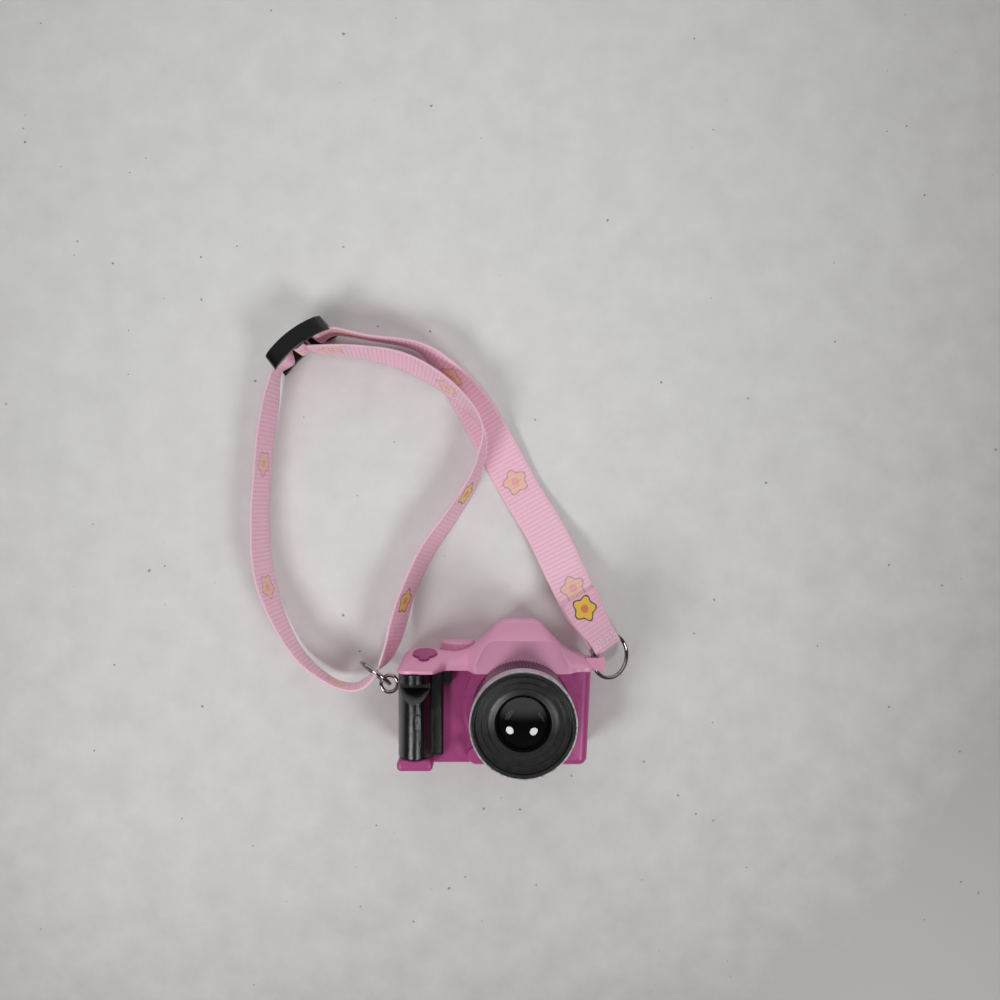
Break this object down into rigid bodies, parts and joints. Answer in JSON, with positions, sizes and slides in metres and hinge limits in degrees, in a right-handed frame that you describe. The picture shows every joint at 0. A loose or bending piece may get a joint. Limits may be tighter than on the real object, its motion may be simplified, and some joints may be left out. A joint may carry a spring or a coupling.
{
  "type": "toy camera key ring",
  "caption": "Miniature toy camera with a lamp in its lens, a sprung shutter button, a turning dial and a ribbon wrist strap on two wire rings.",
  "frame": {"origin": "on the lens axis at the flat back face, which rests on the table", "axes": "+Z out of the lens, +Y towards the toy's top cover, +X towards the side away from the hand grip"},
  "size_m": [0.0938, 0.1085, 0.0372],
  "materials": {
    "deep_pink": "moulded, satin gloss",
    "pale_pink": "moulded, satin gloss",
    "soft_black": "moulded, satin",
    "bright_trim": "plated plastic",
    "clear": "clear moulded lens",
    "led_clear": "clear epoxy",
    "board": "printed circuit board",
    "cell_steel": "plain",
    "contact_brass": "sprung strip",
    "plated_steel": "nickel plated wire",
    "webbing": "woven ribbon",
    "switch_cream": "moulded"
  },
  "bodies": {
    "camera": {"front_shell": "deep_pink", "rear_cover": "deep_pink", "top_cover": "pale_pink", "grip_panel": "soft_black", "button_switch": "soft_black", "lens_barrel": "soft_black", "bright_ring": "bright_trim", "front_bezel": "soft_black", "lens_dome": "clear", "led": "led_clear", "circuit_board": "board", "speaker": "soft_black", "battery_cells": "cell_steel", "battery_contacts": "contact_brass", "battery_door": "deep_pink", "door_screw": "plated_steel", "case_screws": "plated_steel", "strap_eye": "plated_steel", "slider_buckle": "soft_black", "strap_far_run": "webbing", "strap_grip_run": "webbing", "strap_bar_loop": "webbing"},
    "shutter": {"shutter_button": "deep_pink", "switch_plunger": "switch_cream"},
    "dial": {"mode_dial": "pale_pink"},
    "far_link": {"far_ring": "plated_steel"},
    "grip_link": {"grip_ring": "plated_steel"}
  },
  "joints": [
    {"name": "shutter_press", "type": "slide", "parent": "camera", "child": "shutter", "axis": [0, -1, 0], "range_m": [0, 0.0006], "stiffness_N_per_m": 900},
    {"name": "dial_turn", "type": "hinge", "parent": "camera", "child": "dial", "pos_m": [-0.0157, 0.012, 0.006], "axis": [0, 1, 0], "continuous": true},
    {"name": "far_ring_swing", "type": "hinge", "parent": "camera", "child": "far_link", "pos_m": [0.01775, 0.0094, 0.01], "axis": [0, 1, 0], "range_deg": [-100, 30], "deforming": ["strap_far_run"]},
    {"name": "grip_ring_swing", "type": "hinge", "parent": "camera", "child": "grip_link", "pos_m": [-0.0322, 0.0043, 0.01], "axis": [0, 0, 1], "range_deg": [-40, 40], "deforming": ["strap_grip_run"]}
  ]
}
